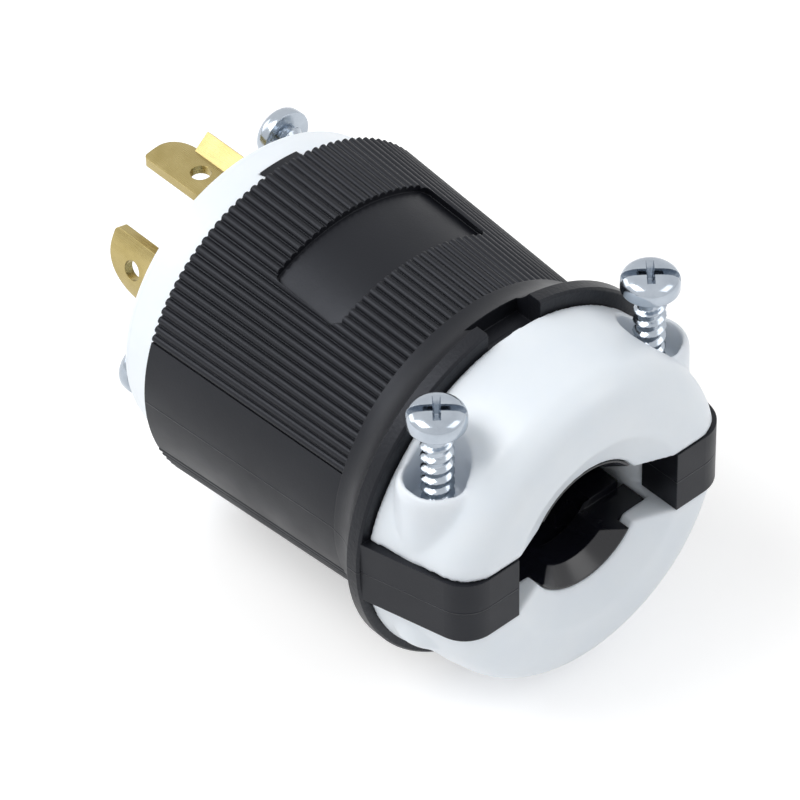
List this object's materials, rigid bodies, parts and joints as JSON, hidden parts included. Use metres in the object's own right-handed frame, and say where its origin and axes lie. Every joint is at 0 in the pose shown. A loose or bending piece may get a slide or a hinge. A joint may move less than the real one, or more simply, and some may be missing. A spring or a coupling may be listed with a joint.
{
  "type": "locking power plug",
  "caption": "Twist-lock power plug with curved brass blades, ribbed nylon body, white blade holder and a jaw-type cord clamp drawn by long screws.",
  "frame": {"origin": "centre of the front face that the blades stand out of", "axes": "+X along the plug's axis towards the cord end, blades towards -X, clamp screw heads on +Z"},
  "size_m": [0.0815, 0.0522, 0.0517],
  "materials": {
    "black_nylon": "moulded, low gloss, fine texture",
    "grip_nylon": "moulded, smooth",
    "white_nylon": "moulded, translucent satin",
    "block_nylon": "moulded",
    "blade_brass": "stamped, bright",
    "screw_brass": "turned",
    "green_screw": "green",
    "zinc_steel": "bright zinc plate",
    "fibre": "pressed fibre"
  },
  "bodies": {
    "root": {"body": "black_nylon", "blade_holder": "white_nylon", "terminal_block": "block_nylon", "ground_blade": "blade_brass", "line_blade_x": "blade_brass", "line_blade_y": "blade_brass", "ground_clamp_plate": "zinc_steel", "line_x_clamp_plate": "screw_brass", "line_y_clamp_plate": "screw_brass", "ground_terminal_screw": "green_screw", "line_terminal_screws": "screw_brass", "block_screws": "zinc_steel", "assembly_screws": "zinc_steel", "screw_retainers": "fibre", "threaded_inserts": "screw_brass", "upper_jaw": "white_nylon", "lower_jaw": "white_nylon", "upper_grip": "grip_nylon", "lower_grip": "grip_nylon", "clamp_screws": "zinc_steel"}
  },
  "joints": []
}
